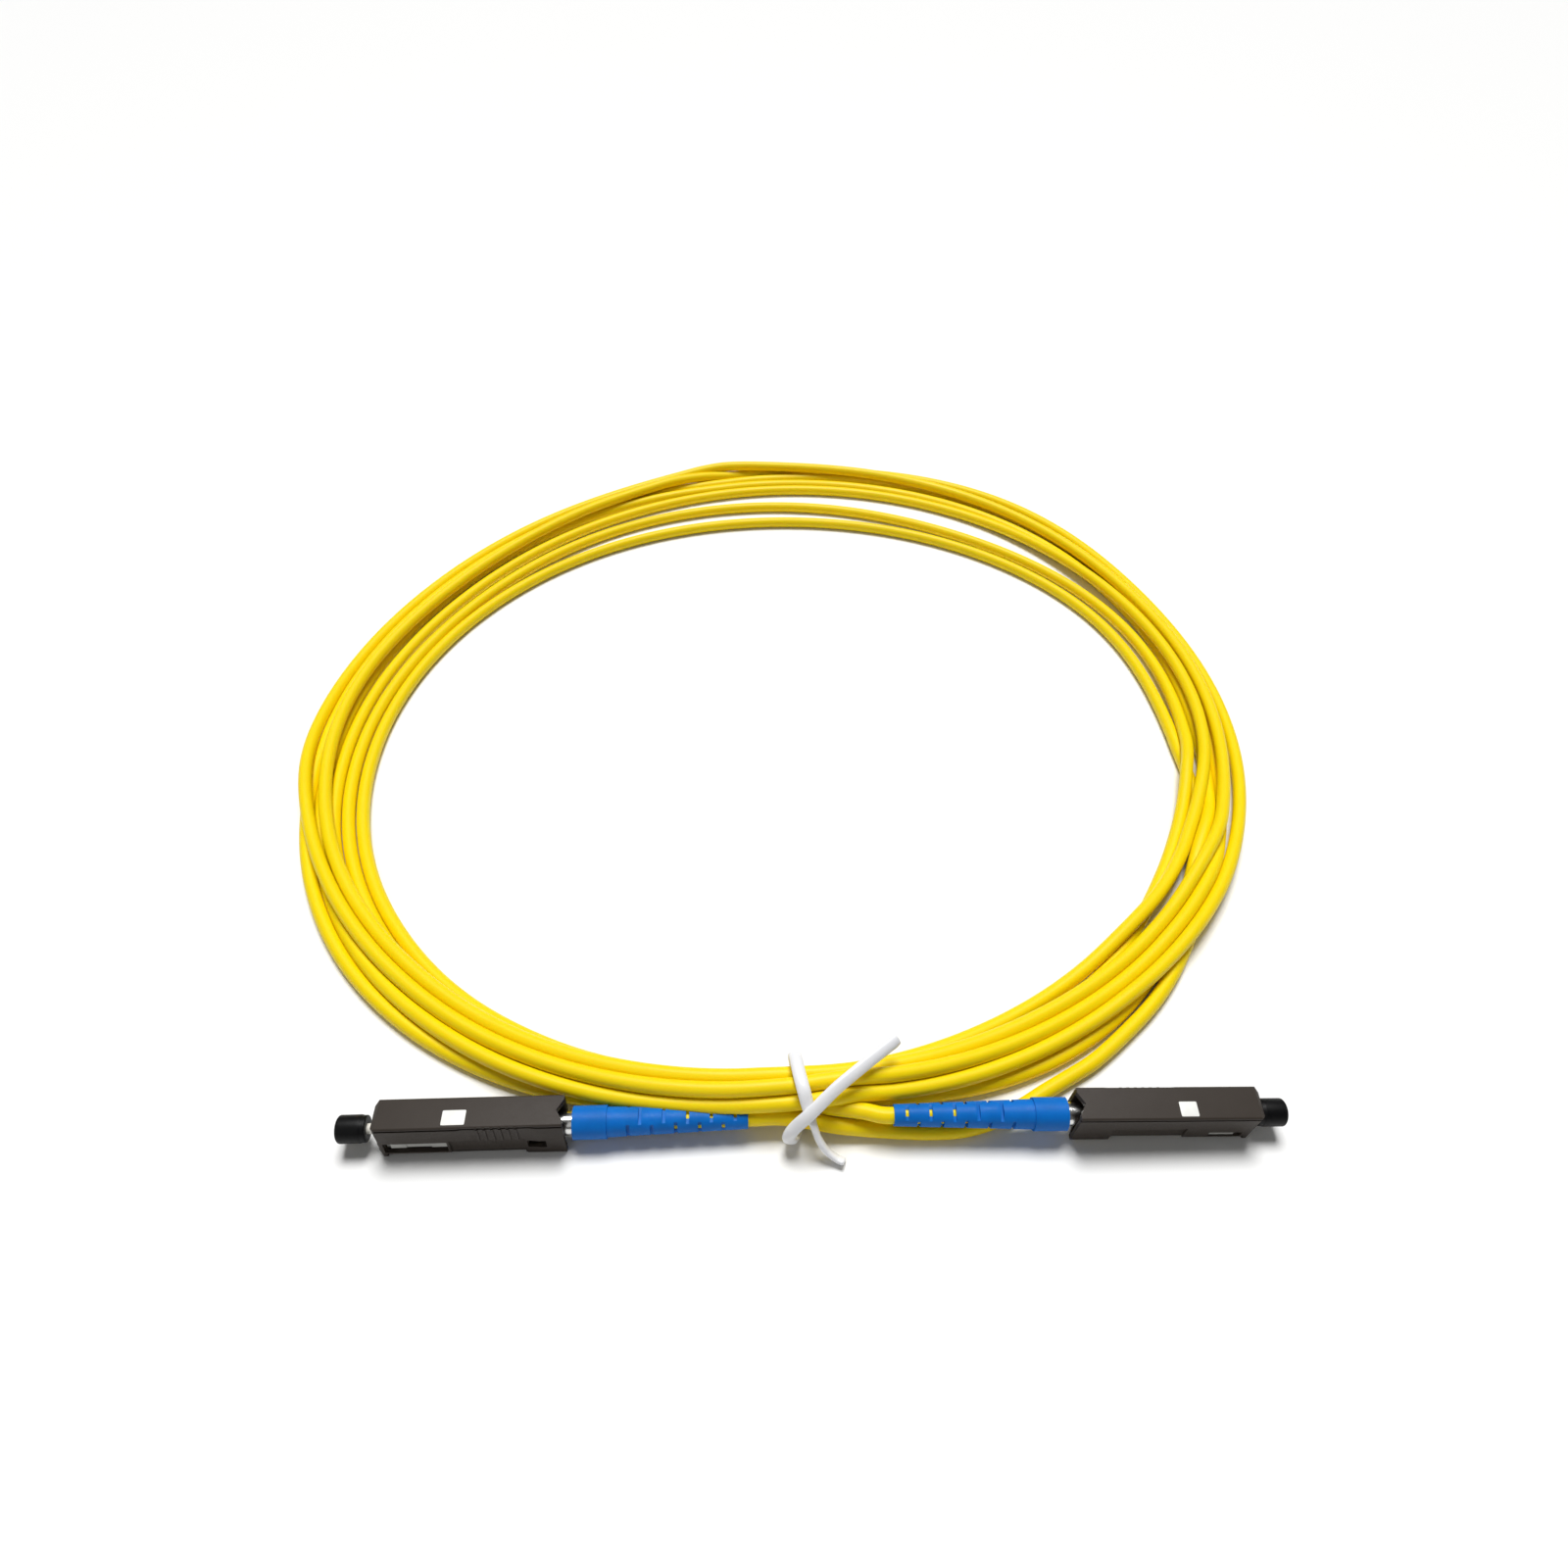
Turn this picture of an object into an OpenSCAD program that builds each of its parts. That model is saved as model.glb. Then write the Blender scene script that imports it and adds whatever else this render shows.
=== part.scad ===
// Coiled single-fibre patch cord with a small push-pull plug on each end.
// Frame: +Z up from the table, +X from plug A towards plug B, origin on the
// table under the middle of the pair of plugs. Millimetres.

/* [Cable] */
// Outer diameter of the jacketed cable
cable_d = 2; // [1.6:0.1:2]
// Outer diameter of the buffered fibre inside it
buffer_d = 0.9; // [0.8:0.05:0.95]
// Diameter of the bare glass fibre
fibre_d = 0.125; // [0.1:0.005:0.13]

/* [Coil] */
// Radius of the hole in the coil at the tie
coil_inner_r = 67.3; // [67:0.1:67.6]
// Outer radius of the coil at the tie
coil_front_r = 71.4; // [71:0.1:71.4]
// Outer radius where the turns fan out most, at the back right
coil_back_r = 89.5; // [82:0.5:91]
// Height of the loose coil
coil_h = 4; // [3:0.1:5]
// Height of the coil where the tie gathers it
coil_tied_h = 6.1; // [5.6:0.1:6.3]
// Ridges that the lying turns make across the coil
coil_ridges = 5; // [3:1:6]

/* [Twist tie] */
// Diameter of the plastic-covered tie wire
tie_d = 1.2; // [0.9:0.1:1.2]

/* [Grip housing] */
// Length of the sliding grip housing
housing_len = 22; // [21:0.5:26]
// Its narrow width, the pitch of a row of plugs less a little
housing_w = 4.1; // [4.1:0.1:4.8]
// Its wide width
housing_h = 6.2; // [6:0.1:7]
// Wall on its two wide faces
housing_wall = 0.5; // [0.45:0.05:0.55]
// Wall on its two narrow faces
housing_cap_wall = 0.85; // [0.75:0.05:0.95]
// Radius of its long edges
housing_edge_r = 0.3; // [0.1:0.05:0.4]
// Bevel round its mouth
mouth_bevel = 0.6; // [0.4:0.1:0.8]
// How far the housing slides back to free the plug
housing_travel = 0.8; // [0.5:0.1:1.2]
// Depth of the hollow in the housing's rear edges
rear_hollow = 0.8; // [0.4:0.1:1]

/* [Latch windows] */
// Start of the long window, behind the mouth
window_start = 0.9; // [0.8:0.1:1.5]
// Length of the long window
window_len = 7.4; // [6:0.2:8.4]
// Height of the long window
window_h = 1.9; // [1.7:0.1:2]
// Drop of the window's middle below the plug's axis
window_drop = 1.1; // [0.9:0.05:1.1]
// Start of the short window on the other wide face
short_window_start = 1.6; // [1.2:0.1:2]
// Length of the short window
short_window_len = 4; // [3.4:0.2:6]
// Height of the short window
short_window_h = 1; // [0.8:0.1:1.4]
// Length of the pull notch near the rear
notch_len = 2.2; // [1.6:0.1:2.4]
// Height of that notch
notch_h = 1.4; // [1:0.1:1.6]
// Start of that notch, behind the mouth
notch_start = 17.6; // [17:0.1:18.2]

/* [Grip relief] */
// Depth of the shallow waist in the wide faces
waist_depth = 0.1; // [0.05:0.05:0.2]
// Start of the waist, behind the mouth
waist_start = 9.6; // [9.2:0.2:10.6]
// Length of the waist
waist_len = 9.6; // [8:0.2:10]
// Number of grip ribs in the waist
rib_count = 6; // [3:1:7]
// Distance from rib to rib
rib_pitch = 0.9; // [0.7:0.05:1]
// Width of one rib
rib_w = 0.3; // [0.2:0.05:0.5]

/* [Edge lines] */
// Depth of the groove under the upper edge of each wide face
edge_groove_d = 0.2; // [0.1:0.05:0.25]
// Height of that groove
edge_groove_h = 0.3; // [0.2:0.05:0.4]
// Depth of the recess in the lower half of the wide faces
side_recess_d = 0.2; // [0.15:0.05:0.25]
// Height of the smooth band above that recess
side_band_h = 2.4; // [2:0.1:2.8]
// Depth of the step along each lower edge
lower_step_d = 0.5; // [0.3:0.05:0.6]
// Height of that step
lower_step_h = 0.8; // [0.5:0.1:0.9]
// Length of that step
lower_step_len = 16.2; // [14:0.2:18]

/* [Plug frame] */
// Setback of the frame's nose from the housing's mouth
frame_setback = 1; // [0.95:0.05:1.4]
// Thickness of the frame's nose wall
frame_nose = 1.2; // [0.8:0.1:1.6]
// Bore along the frame for the flange and spring
frame_bore_d = 2.5; // [2.4:0.05:2.6]
// Opening in the nose round the ferrule
nose_hole_d = 1.9; // [1.6:0.1:2]
// How far the latch lugs stay below the housing's face
lug_setback = 0.15; // [0.1:0.05:0.3]
// Length of each lug of the pair in the long window
lug_len = 1.8; // [1.4:0.1:2]
// Height of the step between those two lugs
lug_step = 0.3; // [0.1:0.05:0.35]
// Height of those lugs, in the upper part of the window
lug_h = 1; // [0.8:0.1:1.2]
// Depth of the pocket in the frame under those lugs
lug_pocket_d = 0.2; // [0.1:0.05:0.25]

/* [Ferrule] */
// Diameter of the ceramic ferrule
ferrule_d = 1.25; // [1.15:0.05:1.35]
// Length of the ferrule
ferrule_len = 7; // [6.6:0.1:7.6]
// How far the tip stands out of the housing's mouth
ferrule_reach = 2.6; // [2.2:0.1:3]
// Bevel at the tip
ferrule_bevel = 0.2; // [0.1:0.05:0.3]
// Bore for the glass fibre
ferrule_bore_d = 0.14; // [0.135:0.005:0.2]
// How far the ferrule floats back on its spring
ferrule_travel = 0.8; // [0.5:0.1:1]

/* [Ferrule flange] */
// Size of the six-sided head, corner to corner
flange_head_d = 2.3; // [2.15:0.05:2.35]
// Length of the head
flange_head_len = 1.8; // [1.4:0.1:2.2]
// Diameter of the barrel inside the spring
flange_barrel_d = 1.5; // [1.45:0.05:1.55]
// Length of the barrel
flange_barrel_len = 5.2; // [4:0.2:6]
// Bore for the buffered fibre
buffer_bore_d = 1.02; // [1:0.01:1.1]

/* [Spring] */
// Wire diameter
spring_wire_d = 0.26; // [0.2:0.02:0.28]
// Diameter over the wire's centreline
spring_mean_d = 1.94; // [1.88:0.02:2]
// Length as fitted
spring_len = 7.5; // [7:0.1:9]
// Number of turns
spring_turns = 7; // [5:1:9]

/* [Stop ring] */
// Diameter of the part inside the frame
stop_plug_d = 2.42; // [2.32:0.02:2.44]
// Length of the part inside the frame
stop_plug_len = 6; // [4:0.5:6.4]
// Diameter of the shoulder behind the frame
stop_shoulder_d = 2.8; // [2.7:0.05:2.85]
// Length of the shoulder
stop_shoulder_len = 1.2; // [0.8:0.1:1.4]
// Diameter of the barrel that the yarn is crimped on
stop_barrel_d = 1.9; // [1.7:0.05:1.95]

/* [Crimp ring] */
// Outer diameter
crimp_d = 2.8; // [2.7:0.05:2.85]
// Length inside the boot
crimp_in_boot = 5.1; // [4.6:0.1:5.6]
// Length that grips the jacket
crimp_grip_len = 2.7; // [2:0.1:3]
// Thickness of the layer of aramid yarn
yarn_t = 0.23; // [0.15:0.01:0.24]

/* [Boot] */
// Length
boot_len = 20.6; // [18:0.2:24]
// Diameter of the collar next to the housing
boot_collar_d = 3.9; // [3.7:0.1:4.1]
// Length of the collar
boot_collar_len = 4; // [3.6:0.2:5]
// Diameter behind the collar
boot_root_d = 3.5; // [3.4:0.1:3.6]
// Diameter at the cable end
boot_tip_d = 2.5; // [2.4:0.1:3]
// Distance from the boot's front to its first slot
slot_front = 6.3; // [5.6:0.1:6.6]
// Number of slot levels, in pairs turned a quarter from each other
slot_levels = 10; // [6:1:10]
// Distance from one slot level to the next
slot_pitch = 1.4; // [1.2:0.1:1.5]
// Width of a slot
slot_w = 0.4; // [0.3:0.05:0.5]
// Distance from the axis to the floor of a slot near the cable end
slot_floor = 0.96; // [0.9:0.02:1]
// How much shallower the slots next to the collar are
slot_rise = 0.2; // [0.1:0.05:0.3]

/* [Dust cap] */
// Outer diameter
cap_d = 3.3; // [3:0.1:3.6]
// Length
cap_len = 3.5; // [3.2:0.1:4.5]
// Bevel round the closed end
cap_bevel = 0.25; // [0.1:0.05:0.4]
// How far plug A's cap stands off its seat
cap_a_off = 1; // [0:0.1:1.4]

/* [Lie of the plugs] */
// Distance between the mouths of the two housings
plug_span = 104.1; // [104:0.1:108]
// Turn of plug A on the table
plug_a_yaw = 183; // [182:0.5:184]
// Turn of plug B on the table
plug_b_yaw = 2.4; // [1.9:0.1:2.9]
// How far plug B's nose dips, its boot lying over the cable
plug_b_dip = 1.2; // [1.2:0.1:1.6]
// How far the twisted cable rolls plug B onto one lower edge
plug_b_roll = 8; // [4:1:12]

/* [Hidden] */
$fn = 48;

eps = 0.01;          // overlap that keeps cuts clean
slide_gap = 0.05;    // round the frame inside the housing, and at each stop
seat_gap = 0.04;     // round the ferrule inside the dust cap
sleeve_gap = 0.02;   // round the crimp ring inside the boot
cable_gap = 0.04;    // round the cable in the boot and the crimp ring
lug_gap = 0.1;       // above and below a lug in its window
end_gap = 0.2;       // before the cable's jacket, inside the crimp ring
straight_exit = 1.2; // straight cable behind a boot
cap_gap = 0.3;       // from the pushed-in cap to the frame's nose

// Stations along a plug, as distances behind the housing's mouth
frame_seat = frame_setback + frame_nose;
spring_front = frame_seat + flange_head_len;
stop_front = spring_front + spring_len;
frame_rear = stop_front + stop_plug_len;
shoulder_rear = frame_rear + stop_shoulder_len;
boot_front = housing_len + housing_travel + 2 * slide_gap;
boot_rear = boot_front + boot_len;
crimp_rear = boot_front + crimp_in_boot;
jacket_end = crimp_rear - crimp_grip_len;
yarn_rear = jacket_end - end_gap;
fibre_rear = jacket_end - ferrule_travel - end_gap;
ferrule_rear = ferrule_len - ferrule_reach;
cap_seat = ferrule_travel + cap_gap - frame_setback;
cap_recess_len = ferrule_travel - cap_seat + 2 * slide_gap;

// Widths that follow from what a piece fits in
cavity_w = housing_w - 2 * housing_wall;
cavity_h = housing_h - 2 * housing_cap_wall;
frame_w = cavity_w - 2 * slide_gap;
frame_h = cavity_h - 2 * slide_gap;
cable_bore_d = cable_d + 2 * cable_gap;
yarn_d = stop_barrel_d + 2 * yarn_t;
crimp_bore_d = yarn_d + 2 * cable_gap;
boot_sleeve_d = crimp_d + 2 * sleeve_gap;
cap_bore_d = ferrule_d + 2 * seat_gap;
lug_out = housing_w / 2 - lug_setback;

// Where each plug lies: the middle of its housing's mouth
mouth_a = [(cap_a_off - plug_span) / 2, -2.1, housing_h / 2];
rolled_drop = (housing_h / 2 - housing_edge_r) * cos(plug_b_roll)
  + (housing_w / 2 - housing_edge_r) * sin(plug_b_roll) + housing_edge_r;
mouth_b = [(cap_a_off + plug_span) / 2, 2.1,
  rolled_drop * cos(plug_b_dip) - mouth_bevel * sin(plug_b_dip)];

// The coil's middle, and the lift that the tie gives it
coil_x = -6;
coil_y = 73;
tie_lift = tie_d + 0.3;
coil_sections = 60;
ridge_steps = 4;
ridge_h = 0.5;
// Round the coil from the tie, every 30 degrees: how far its inner edge stands
// outside the radius at the tie, and its share of the way out to the widest
edge_in = [0, -3.4, -3.1, -2.5, -0.6, -1.4, -3.2, -4.3, -5, -3.5, -0.8, 0.4];
share_out = [0, 0.1, 0.17, 0.29, 0.51, 1, 0.83, 0.63, 0.37, 0.32, 0.28, 0.23];

// Route of the cable's free stretches, outside the boots
route_a = [
  [-4.5, 0.4, 3.1], [-1, 0.2, 2.75], [2.5, 0, 2.05], [7, 0, 1.4], [11.5, 0, 1.05],
  [15.5, 0.1, 1.05], [19.5, 0.8, 1.05], [24.5, 3.1, 1.05], [29.5, 6.4, 1.05],
  [35, 9.9, 1.05], [40.3, 14.6, 1.05], [44.7, 19.1, 1.05], [48.5, 24.1, 1.05],
  [52.1, 30.1, 1.05], [55.2, 36.6, 1.05]
];
route_b = [
  [-16, 4.9, 1.9], [-11, 3.5, 2.2], [-6, 2.7, 2.4], [-2.5, 2.4, 2.45],
  [0, 2.1, 3], [1.9, 1.5, 3.65], [5.6, 0.8, 4.1]
];
// Route of the tie wire: long tail, over the knot, under the cable and the
// coil, up the inside, over the top, under the knot and out to the short tail
tie_route = [
  [9.6, 7.4, 9.4], [5.8, 4.2, 9.1], [2.2, 1.2, 8.4], [-0.6, -1.1, 6.9],
  [-2.4, -2, 5.2], [-3.2, -2.3, 3.6], [-3, -2, 1.9], [-2.6, -0.8, 0.8],
  [-2.2, 1, 0.7], [-2, 3.2, 0.7], [-2.1, 5.6, 0.7], [-2.3, 6.9, 1.4],
  [-2.5, 7.1, 3.7], [-2.7, 6.9, 6], [-2.6, 5.6, 8], [-2.2, 3.3, 8.4],
  [-1.6, 1, 8.1], [-0.9, -0.6, 6.2], [-0.3, -1.6, 4.5], [0.3, -2.4, 3.1],
  [1.2, -3, 1.7], [2.4, -3.5, 0.8], [3.4, -3.9, 0.7]
];

// ---- vectors, curves and swept tubes ----

function unit(v) = v / norm(v);

// Point on a Catmull-Rom curve from b to c, with neighbours a and d
function blend_point(a, b, c, d, t) =
  0.5 * (2 * b + (c - a) * t + (2 * a - 5 * b + 4 * c - d) * t * t
  + (3 * b - a - 3 * c + d) * t * t * t);

// The curve through all of pts, with steps rings from point to point
function curve(pts, steps) = let (n = len(pts)) concat(
  [for (i = [0 : n - 2], k = [0 : steps - 1])
    blend_point(pts[max(i - 1, 0)], pts[i], pts[i + 1], pts[min(i + 2, n - 1)],
      k / steps)],
  [pts[n - 1]]);

function heading(p, i) = unit(p[min(i + 1, len(p) - 1)] - p[max(i - 1, 0)]);

// One ring of points about p[i], its first point turned away from side
function ring(p, i, r, sides, side) = let (
  h = heading(p, i), u = unit(cross(h, side)), v = cross(h, u))
  [for (k = [0 : sides - 1]) let (a = 360 * k / sides)
    p[i] + r * (cos(a) * u + sin(a) * v)];

// Closed tube of radius r along the points p
module swept_tube(p, r, sides, side) {
  n = len(p);
  walls = [for (i = [0 : n - 2], k = [0 : sides - 1]) let (m = (k + 1) % sides)
    [i * sides + k, i * sides + m, (i + 1) * sides + m, (i + 1) * sides + k]];
  start = [for (k = [sides - 1 : -1 : 0]) k];
  end = [for (k = [0 : sides - 1]) (n - 1) * sides + k];
  polyhedron(points = [for (i = [0 : n - 1]) each ring(p, i, r, sides, side)],
    faces = concat([start], walls, [end]), convexity = 10);
}

// ---- helpers in a plug's own frame: +X out of the mouth, mouth at x = 0 ----

// Round bar from station a to station b behind the mouth
module bar(a, b, d) {
  translate([-b, 0, 0]) rotate([0, 90, 0]) cylinder(h = b - a, d = d);
}

// Cone from station a to station b
module taper(a, b, da, db) {
  translate([-b, 0, 0]) rotate([0, 90, 0]) cylinder(h = b - a, d1 = db, d2 = da);
}

// Block from station a to station b, y0 to y1 and z0 to z1
module block(a, b, y0, y1, z0, z1) {
  translate([-b, y0, z0]) cube([b - a, y1 - y0, z1 - z0]);
}

module at_a() { translate(mouth_a) rotate([0, 0, plug_a_yaw]) children(); }
module at_b() {
  translate(mouth_b) rotate([plug_b_roll, plug_b_dip, plug_b_yaw]) children();
}

// A point on plug B's axis, at a station behind its mouth; plug A lies level
function axis_a(s) = mouth_a - s * [cos(plug_a_yaw), sin(plug_a_yaw), 0];
function axis_b(s) = mouth_b - s * [
  cos(plug_b_dip) * cos(plug_b_yaw), cos(plug_b_dip) * sin(plug_b_yaw),
  -sin(plug_b_dip)];

// ---- the plug's pieces ----

module rounded_section(w, h, r) {
  square([w - 2 * r, h], center = true);
  square([w, h - 2 * r], center = true);
  for (x = [-1, 1], y = [-1, 1])
    translate([x * (w / 2 - r), y * (h / 2 - r)]) circle(r = r);
}

// Wedge that bevels one wide face's front edge; turned for the others
module mouth_wedge(reach, width) {
  translate([0, reach, 0]) rotate([0, 0, 45])
    cube([mouth_bevel * sqrt(2), mouth_bevel * sqrt(2), width], center = true);
}

// The waist in the +Y face, with the ribs left standing in it
module waist_cut() {
  floor_y = housing_w / 2 - waist_depth;
  span = (rib_count - 1) * rib_pitch;
  first = waist_start + (waist_len - span) / 2;
  difference() {
    translate([0, 0, -housing_h]) linear_extrude(2 * housing_h) polygon([
      [-waist_start, housing_w / 2 + eps], [-waist_start - 1, floor_y],
      [-waist_start - waist_len + 1, floor_y],
      [-waist_start - waist_len, housing_w / 2 + eps]]);
    for (i = [0 : rib_count - 1]) let (s = first + i * rib_pitch)
      block(s - rib_w / 2, s + rib_w / 2, 0, housing_w, -housing_h, housing_h);
  }
}

// The long lines of a wide face: the groove under its upper edge, the recess
// below its smooth band, and the step along its lower edge
module side_lines() {
  top = housing_h / 2 - edge_groove_h;
  band_low = top - edge_groove_h - side_band_h;
  step_start = mouth_bevel + 0.4;
  block(mouth_bevel, housing_len + eps, housing_w / 2 - edge_groove_d, housing_w,
    top - edge_groove_h, top);
  block(window_start + window_len + 0.3, notch_start - 0.2,
    housing_w / 2 - side_recess_d, housing_w, -housing_h / 2, band_low);
  block(step_start, step_start + lower_step_len, housing_w / 2 - lower_step_d,
    housing_w, -housing_h, -housing_h / 2 + lower_step_h);
}

module grip_housing() {
  window_low = -window_drop - window_h / 2;
  color([0.28, 0.26, 0.235]) difference() {
    rotate([0, -90, 0]) linear_extrude(housing_len)
      rounded_section(housing_h, housing_w, housing_edge_r);
    block(-eps, housing_len + eps, -cavity_w / 2, cavity_w / 2,
      -cavity_h / 2, cavity_h / 2);
    bar(-eps, cap_recess_len, cap_d + 2 * slide_gap);
    for (y = [-1, 1]) mouth_wedge(y * housing_w / 2, 2 * housing_h);
    rotate([90, 0, 0]) for (z = [-1, 1]) mouth_wedge(z * housing_h / 2, 2 * housing_w);
    waist_cut();
    side_lines();
    mirror([0, 1, 0]) side_lines();
    block(window_start, window_start + window_len, 0, housing_w,
      window_low, window_low + window_h);
    block(short_window_start, short_window_start + short_window_len,
      -housing_w, 0, window_low, window_low + short_window_h);
    block(notch_start, notch_start + notch_len, 0, housing_w,
      window_low + 0.3, window_low + 0.3 + notch_h);
    translate([-housing_len, 0, -housing_h]) linear_extrude(2 * housing_h)
      polygon([[-eps, -housing_w / 3], [rear_hollow, 0], [-eps, housing_w / 3]]);
  }
}

// A pair of lugs with a low step between them, for the long window
module long_lugs() {
  a = window_start + housing_travel + slide_gap;
  b = window_start + window_len - slide_gap;
  z1 = -window_drop + window_h / 2 - lug_gap;
  z0 = z1 - lug_h;
  block(a, a + lug_len, 0, lug_out, z0, z1);
  block(b - lug_len, b, 0, lug_out, z0, z1);
  block(a, b, 0, frame_w / 2 + lug_step, z0, z1);
}

module short_lug() {
  a = short_window_start + housing_travel + slide_gap;
  b = short_window_start + short_window_len - slide_gap;
  z0 = -window_drop - window_h / 2 + lug_gap;
  block(a, b, -lug_out, 0, z0, z0 + short_window_h - 2 * lug_gap);
}

module plug_frame() {
  pocket_top = -window_drop + window_h / 2 - lug_gap - lug_h;
  color([0.62, 0.62, 0.60]) difference() {
    union() {
      block(frame_setback, frame_rear, -frame_w / 2, frame_w / 2,
        -frame_h / 2, frame_h / 2);
      long_lugs();
      short_lug();
    }
    bar(frame_setback - eps, frame_seat + eps, nose_hole_d);
    bar(frame_seat, frame_rear + eps, frame_bore_d);
    block(window_start, window_start + window_len, frame_w / 2 - lug_pocket_d,
      frame_w, -frame_h, pocket_top);
  }
}

module ferrule() {
  color([0.95, 0.95, 0.92]) difference() {
    union() {
      taper(-ferrule_reach, -ferrule_reach + ferrule_bevel,
        ferrule_d - 2 * ferrule_bevel, ferrule_d);
      bar(-ferrule_reach + ferrule_bevel, ferrule_rear, ferrule_d);
    }
    bar(-ferrule_reach - eps, ferrule_rear + eps, ferrule_bore_d);
  }
}

module ferrule_flange() {
  barrel_rear = spring_front + flange_barrel_len;
  color([0.80, 0.80, 0.78]) difference() {
    union() {
      translate([-spring_front, 0, 0]) rotate([0, 90, 0])
        cylinder(h = flange_head_len, d = flange_head_d, $fn = 6);
      bar(spring_front, barrel_rear, flange_barrel_d);
    }
    bar(frame_seat - eps, ferrule_rear, ferrule_d);
    bar(ferrule_rear - eps, barrel_rear + eps, buffer_bore_d);
  }
}

// Bare glass through the ferrule, then the buffered fibre into the cable
module buffered_fibre() {
  color([0.93, 0.90, 0.80]) {
    bar(-ferrule_reach, ferrule_rear + 0.2, fibre_d);
    bar(ferrule_rear + 0.1, fibre_rear, buffer_d);
  }
}

module spring() {
  steps = 12;
  n = spring_turns * steps;
  climb = spring_len - spring_wire_d;
  helix = [for (i = [0 : n]) let (a = 360 * i / steps) [
    -spring_front - spring_wire_d / 2 - climb * i / n,
    spring_mean_d / 2 * cos(a), spring_mean_d / 2 * sin(a)]];
  color([0.72, 0.72, 0.70]) swept_tube(helix, spring_wire_d / 2, 6, [1, 0, 0]);
}

module stop_ring() {
  color([0.78, 0.76, 0.70]) difference() {
    union() {
      bar(stop_front, frame_rear + eps, stop_plug_d);
      bar(frame_rear, shoulder_rear, stop_shoulder_d);
      bar(shoulder_rear - eps, yarn_rear, stop_barrel_d);
    }
    bar(stop_front - eps, yarn_rear + eps, buffer_bore_d);
  }
}

module aramid_yarn() {
  color([0.90, 0.78, 0.32]) difference() {
    bar(shoulder_rear, yarn_rear, yarn_d);
    bar(shoulder_rear - eps, yarn_rear + eps, stop_barrel_d);
  }
}

module crimp_ring() {
  color([0.86, 0.86, 0.85]) difference() {
    bar(shoulder_rear, crimp_rear, crimp_d);
    bar(shoulder_rear - eps, jacket_end, crimp_bore_d);
    bar(jacket_end - eps, crimp_rear + eps, cable_bore_d);
  }
}

module strain_boot(turn) {
  collar_rear = boot_front + boot_collar_len;
  first_slot = boot_front + slot_front;
  tip_ring = 1;
  color([0.08, 0.42, 0.86]) difference() {
    union() {
      bar(boot_front, collar_rear, boot_collar_d);
      taper(collar_rear - eps, boot_rear, boot_root_d, boot_tip_d);
    }
    bar(boot_front - eps, crimp_rear + slide_gap, boot_sleeve_d);
    bar(crimp_rear, boot_rear + eps, cable_bore_d);
    for (i = [0 : slot_levels - 1]) {
      s = first_slot + i * slot_pitch;
      floor_r = i < slot_levels / 2 - 1 ? slot_floor + slot_rise : slot_floor;
      if (s + slot_w < boot_rear - tip_ring)
        rotate([turn + 90 * (i % 2), 0, 0]) for (y = [-1, 1])
          translate([-s - slot_w, y > 0 ? floor_r : -floor_r - boot_root_d,
            -boot_root_d])
            cube([slot_w, boot_root_d, 2 * boot_root_d]);
    }
  }
}

module dust_cap(off) {
  front = -cap_seat - cap_len;
  color([0.05, 0.05, 0.055]) translate([off, 0, 0]) difference() {
    union() {
      taper(front, front + cap_bevel, cap_d - 2 * cap_bevel, cap_d);
      bar(front + cap_bevel, -cap_seat, cap_d);
    }
    bar(-ferrule_reach - slide_gap, -cap_seat + eps, cap_bore_d);
  }
}

// ---- the cable and its tie ----

// 1 at the tie, falling to 0 within 30 degrees of it
function gathered(a) = pow((1 - sin(a)) / 2, 40);
// A list of values round the coil, from the tie on, read at angle a
function around(list, a) = let (
  n = len(list), u = (a + 90) * n / 360, i = floor(u))
  blend_point(list[(i + n - 1) % n], list[i % n], list[(i + 1) % n],
    list[(i + 2) % n], u - i);
function coil_in(a) = coil_inner_r + around(edge_in, a);
function coil_out(a) = coil_front_r
  + (coil_back_r - coil_front_r) * around(share_out, a);
function coil_foot(a) = tie_lift * gathered(a);
function coil_top(a) = coil_h + (coil_tied_h - coil_h) * gathered(a);

// Across the coil, u from 0 at its hole to 1 outside: the ridged top's height
function ridged(u) = sqrt(1 - pow(2 * u - 1, 4));
function ridge(u) = ridge_h * abs(sin(180 * coil_ridges * u));

// One section of the coil: over the ridged top outwards, back along the foot
function coil_section(a) = let (
  steps = coil_ridges * ridge_steps, w = coil_out(a) - coil_in(a),
  h = coil_top(a), foot = coil_foot(a),
  top = [for (k = [0 : steps]) let (u = k / steps)
    [coil_in(a) + w * u, foot + h / 2 + (h / 2 - ridge_h) * ridged(u) + ridge(u)]],
  base = [[1 - 0.08, 0], [0.08, 0]])
  concat(top, [for (b = base) [coil_in(a) + w * b[0], foot + b[1]]]);

module cable_coil() {
  m = coil_ridges * ridge_steps + 3;
  n = coil_sections;
  pts = [for (i = [0 : n - 1]) let (a = 360 * i / n - 90) for (q = coil_section(a))
    [coil_x + q[0] * cos(a), coil_y + q[0] * sin(a), q[1]]];
  faces = [for (i = [0 : n - 1], k = [0 : m - 1])
    let (j = (i + 1) % n, l = (k + 1) % m)
    [i * m + k, i * m + l, j * m + l, j * m + k]];
  color([0.98, 0.82, 0.05]) polyhedron(points = pts, faces = faces, convexity = 10);
}

// Straight inside the boot, then along the route
module cable_lead_a() {
  inside = [for (s = [jacket_end, (jacket_end + boot_rear) / 2, boot_rear,
    boot_rear + straight_exit]) axis_a(s)];
  color([0.98, 0.80, 0.04])
    swept_tube(curve(concat(inside, route_a), 2), cable_d / 2, 8, [0, 0, 1]);
}

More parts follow.
